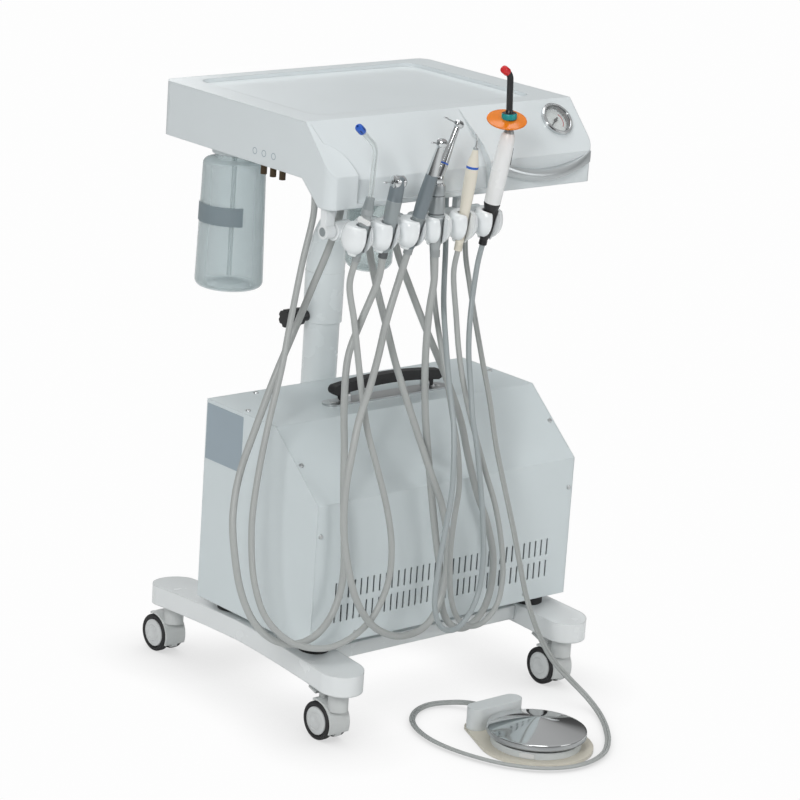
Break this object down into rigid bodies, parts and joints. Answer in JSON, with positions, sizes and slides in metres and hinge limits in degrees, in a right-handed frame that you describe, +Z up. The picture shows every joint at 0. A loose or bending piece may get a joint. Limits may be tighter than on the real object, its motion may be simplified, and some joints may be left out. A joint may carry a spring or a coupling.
{
  "type": "portable dental unit",
  "caption": "Mobile dental delivery cart: instrument tray on a telescopic mast, boxed air compressor with carry handle, castor base, hung handpieces with hoses and a disc foot pedal.",
  "frame": {"origin": "on the floor under the middle of the unit and its pedal, hoses left out", "axes": "+X to the right of someone facing the instruments, +Y to the back, +Z up"},
  "size_m": [0.5464, 0.6328, 0.8436],
  "materials": {
    "white_paint": "semi-gloss",
    "grey_paint": "semi-gloss",
    "white_plastic": "semi-gloss",
    "grey_plastic": "satin",
    "satin_grey": "satin",
    "dark_plastic": "satin",
    "black_plastic": "satin",
    "red_plastic": "gloss",
    "cream_plastic": "satin",
    "ivory_plastic": "satin",
    "clear_plastic": "clear",
    "black_glass": "gloss",
    "black_rubber": "matt",
    "hose_rubber": "satin",
    "black_tyre": "matt",
    "satin_metal": "satin",
    "cast_aluminium": "cast",
    "grey_metal": "satin",
    "steel": "satin",
    "polished_steel": "polished",
    "bronze_metal": "dark"
  },
  "bodies": {
    "base": {"legs": "white_paint", "base_rails": "white_paint", "mast_tube": "white_paint", "cabinet_cover": "white_paint", "cabinet_tub": "white_paint", "cabinet_screws": "steel", "cabinet_feet": "black_rubber", "compressor": "cast_aluminium", "air_tank": "grey_paint", "power_inlet": "black_plastic", "handle_plate": "satin_metal", "pedal_base": "cream_plastic", "pedal_housing": "grey_plastic", "hose_pedal": "hose_rubber"},
    "head": {"mast_sleeve": "white_paint", "tray_shell": "white_plastic", "tray_bottom": "white_plastic", "valve_block": "satin_metal", "grip_strip": "satin_grey", "gauge_case": "polished_steel", "holder_bar": "white_plastic", "holders": "white_plastic", "hose_ejector": "hose_rubber", "hose_turbine_a": "hose_rubber", "hose_turbine_b": "hose_rubber", "hose_motor": "hose_rubber", "hose_scaler": "hose_rubber", "hose_light": "hose_rubber"},
    "clamp_knob": {"clamp_knob": "black_plastic"},
    "power_switch": {"power_switch": "red_plastic"},
    "handle_grip": {"handle_grip": "black_rubber"},
    "castor_fl_hood": {"castor_fl_hood": "grey_plastic"},
    "castor_fr_hood": {"castor_fr_hood": "grey_plastic"},
    "castor_rl_hood": {"castor_rl_hood": "grey_plastic"},
    "castor_rr_hood": {"castor_rr_hood": "grey_plastic"},
    "castor_fl_wheels": {"castor_fl_wheels": "black_tyre"},
    "castor_fr_wheels": {"castor_fr_wheels": "black_tyre"},
    "castor_rl_wheels": {"castor_rl_wheels": "black_tyre"},
    "castor_rr_wheels": {"castor_rr_wheels": "black_tyre"},
    "brake_fl": {"brake_fl": "dark_plastic"},
    "brake_fr": {"brake_fr": "dark_plastic"},
    "pedal_disc": {"pedal_disc": "polished_steel"},
    "gauge_needle": {"gauge_needle": "black_plastic"},
    "flow_knob_a": {"flow_knob_a": "bronze_metal"},
    "flow_knob_b": {"flow_knob_b": "bronze_metal"},
    "flow_knob_c": {"flow_knob_c": "bronze_metal"},
    "water_bottle": {"water_bottle": "clear_plastic"},
    "waste_jar": {"waste_jar": "clear_plastic"},
    "ejector_valve": {"ejector_valve": "grey_plastic"},
    "ejector_lever": {"ejector_lever": "white_plastic"},
    "turbine_a": {"turbine_a": "grey_metal"},
    "bur_a": {"bur_a": "steel"},
    "turbine_b": {"turbine_b": "grey_metal"},
    "bur_b": {"bur_b": "steel"},
    "air_motor": {"air_motor": "satin_metal"},
    "contra_angle": {"contra_angle": "polished_steel"},
    "bur_c": {"bur_c": "steel"},
    "scaler": {"scaler": "ivory_plastic"},
    "curing_light": {"curing_light": "white_plastic"},
    "light_guide": {"light_guide": "black_glass"}
  },
  "joints": [
    {"name": "head_lift", "type": "slide", "parent": "base", "child": "head", "axis": [0, 0, 1], "range_m": [0, 0.04]},
    {"name": "clamp_turn", "type": "hinge", "parent": "head", "child": "clamp_knob", "pos_m": [-0.05, 0.2085, 0.46], "axis": [1, 0, 0], "range_deg": [-180, 180]},
    {"name": "switch_rock", "type": "hinge", "parent": "base", "child": "power_switch", "pos_m": [0.15, 0.1625, 0.1915], "axis": [1, 0, 0], "range_deg": [-10, 10]},
    {"name": "handle_fold", "type": "hinge", "parent": "base", "child": "handle_grip", "pos_m": [0, 0.0715, 0.391], "axis": [1, 0, 0], "range_deg": [-68, 68]},
    {"name": "swivel_fl", "type": "hinge", "parent": "base", "child": "castor_fl_hood", "pos_m": [-0.19, -0.0965, 0.06], "axis": [0, 0, 1], "continuous": true},
    {"name": "roll_fl", "type": "hinge", "parent": "castor_fl_hood", "child": "castor_fl_wheels", "pos_m": [-0.19, -0.0745, 0.025], "axis": [1, 0, 0], "continuous": true},
    {"name": "swivel_fr", "type": "hinge", "parent": "base", "child": "castor_fr_hood", "pos_m": [0.19, -0.0965, 0.06], "axis": [0, 0, 1], "continuous": true},
    {"name": "roll_fr", "type": "hinge", "parent": "castor_fr_hood", "child": "castor_fr_wheels", "pos_m": [0.19, -0.0745, 0.025], "axis": [1, 0, 0], "continuous": true},
    {"name": "swivel_rl", "type": "hinge", "parent": "base", "child": "castor_rl_hood", "pos_m": [-0.18, 0.2615, 0.06], "axis": [0, 0, 1], "continuous": true},
    {"name": "roll_rl", "type": "hinge", "parent": "castor_rl_hood", "child": "castor_rl_wheels", "pos_m": [-0.18, 0.2835, 0.025], "axis": [1, 0, 0], "continuous": true},
    {"name": "swivel_rr", "type": "hinge", "parent": "base", "child": "castor_rr_hood", "pos_m": [0.18, 0.2615, 0.06], "axis": [0, 0, 1], "continuous": true},
    {"name": "roll_rr", "type": "hinge", "parent": "castor_rr_hood", "child": "castor_rr_wheels", "pos_m": [0.18, 0.2835, 0.025], "axis": [1, 0, 0], "continuous": true},
    {"name": "brake_tip_fl", "type": "hinge", "parent": "castor_fl_hood", "child": "brake_fl", "pos_m": [-0.19, -0.0695, 0.0565], "axis": [-1, 0, 0], "range_deg": [0, 25]},
    {"name": "brake_tip_fr", "type": "hinge", "parent": "castor_fr_hood", "child": "brake_fr", "pos_m": [0.19, -0.0695, 0.0565], "axis": [-1, 0, 0], "range_deg": [0, 25]},
    {"name": "pedal_press", "type": "slide", "parent": "base", "child": "pedal_disc", "axis": [0, 0, -1], "range_m": [0, 0.004], "stiffness_N_per_m": 5000, "springref_m": -0.002},
    {"name": "needle_turn", "type": "hinge", "parent": "head", "child": "gauge_needle", "pos_m": [0.1765, -0.02042, 0.74915], "axis": [0, -0.7377, 0.6752], "range_deg": [-250, 0]},
    {"name": "flow_turn_a", "type": "hinge", "parent": "head", "child": "flow_knob_a", "pos_m": [-0.2025, 0.0945, 0.695], "axis": [0, 0, 1], "range_deg": [-270, 270]},
    {"name": "flow_turn_b", "type": "hinge", "parent": "head", "child": "flow_knob_b", "pos_m": [-0.2025, 0.076, 0.695], "axis": [0, 0, 1], "range_deg": [-270, 270]},
    {"name": "flow_turn_c", "type": "hinge", "parent": "head", "child": "flow_knob_c", "pos_m": [-0.2025, 0.0575, 0.695], "axis": [0, 0, 1], "range_deg": [-270, 270]},
    {"name": "bottle_off", "type": "slide", "parent": "head", "child": "water_bottle", "axis": [0, 0, -1], "range_m": [0, 0.05]},
    {"name": "jar_off", "type": "slide", "parent": "head", "child": "waste_jar", "axis": [0, 0, -1], "range_m": [0, 0.04]},
    {"name": "ejector_valve_lift", "type": "slide", "parent": "head", "child": "ejector_valve", "axis": [0.0958, -0.1385, 0.9857], "range_m": [0, 0.05]},
    {"name": "turbine_a_lift", "type": "slide", "parent": "head", "child": "turbine_a", "axis": [0.0558, -0.139, 0.9887], "range_m": [0, 0.05]},
    {"name": "turbine_b_lift", "type": "slide", "parent": "head", "child": "turbine_b", "axis": [0.1132, -0.2066, 0.9719], "range_m": [0, 0.05]},
    {"name": "air_motor_lift", "type": "slide", "parent": "head", "child": "air_motor", "axis": [-0.0436, 0, 0.999], "range_m": [0, 0.05]},
    {"name": "scaler_lift", "type": "slide", "parent": "head", "child": "scaler", "axis": [0.0366, -0.1045, 0.9939], "range_m": [0, 0.05]},
    {"name": "curing_light_lift", "type": "slide", "parent": "head", "child": "curing_light", "axis": [0.0436, -0.1735, 0.9839], "range_m": [0, 0.05]},
    {"name": "lever_tip", "type": "hinge", "parent": "ejector_valve", "child": "ejector_lever", "pos_m": [-0.18742, -0.07678, 0.66588], "axis": [0.9954, 0.0133, -0.0949], "range_deg": [-22, 22]},
    {"name": "bur_spin_a", "type": "hinge", "parent": "turbine_a", "child": "bur_a", "pos_m": [-0.14658, -0.0828, 0.70876], "axis": [0.9984, 0.0078, -0.0553], "continuous": true},
    {"name": "bur_spin_b", "type": "hinge", "parent": "turbine_b", "child": "bur_b", "pos_m": [-0.09446, -0.09782, 0.75576], "axis": [0.9936, 0.0235, -0.1107], "continuous": true},
    {"name": "contra_turn", "type": "hinge", "parent": "air_motor", "child": "contra_angle", "pos_m": [-0.06412, -0.0725, 0.69894], "axis": [-0.0436, 0, 0.999], "range_deg": [-95, 180]},
    {"name": "bur_spin_c", "type": "hinge", "parent": "contra_angle", "child": "bur_c", "pos_m": [-0.03693, -0.0725, 0.76971], "axis": [0.9171, 0, -0.3987], "continuous": true},
    {"name": "guide_turn", "type": "hinge", "parent": "curing_light", "child": "light_guide", "pos_m": [0.02773, -0.09382, 0.75706], "axis": [-0.079, -0.0181, 0.9967], "continuous": true}
  ]
}
